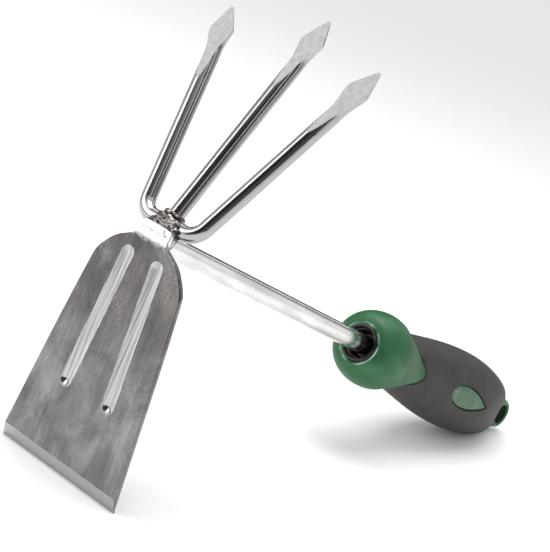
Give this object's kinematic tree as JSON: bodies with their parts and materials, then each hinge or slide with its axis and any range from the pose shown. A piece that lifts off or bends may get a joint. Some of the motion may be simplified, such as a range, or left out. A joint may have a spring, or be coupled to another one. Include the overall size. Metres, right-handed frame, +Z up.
{
  "type": "hand cultivator",
  "caption": "Two-sided hand hoe: a grooved trapezoid blade opposite a fork of forged diamond points, on a straight round shaft with a two-part soft-grip handle and a hang hole.",
  "frame": {"origin": "centre of the footprint, on the surface that the tool rests on with its cutting edge and grip", "axes": "+X from the head to the handle's tail, +Y across the blade, +Z up along the tines"},
  "size_m": [0.3192, 0.0744, 0.1767],
  "materials": {
    "steel_sheet": "satin stainless steel with drawing streaks",
    "steel_rod": "polished stainless steel",
    "weld": "weld bead, cleaned, uneven",
    "green_plastic": "satin moulded hard plastic",
    "grey_rubber": "matte soft-touch rubber",
    "black_plastic": "glossy black"
  },
  "bodies": {
    "root": {"hoe_blade": "steel_sheet", "side_tines": "steel_rod", "centre_tine": "steel_rod", "shaft": "steel_rod", "centre_tine_weld": "weld", "neck_top_weld": "weld", "neck_side_weld_left": "weld", "neck_side_weld_right": "weld", "bow_weld": "weld", "entry_ring": "black_plastic", "handle_core": "green_plastic", "grip": "grey_rubber"}
  },
  "joints": []
}
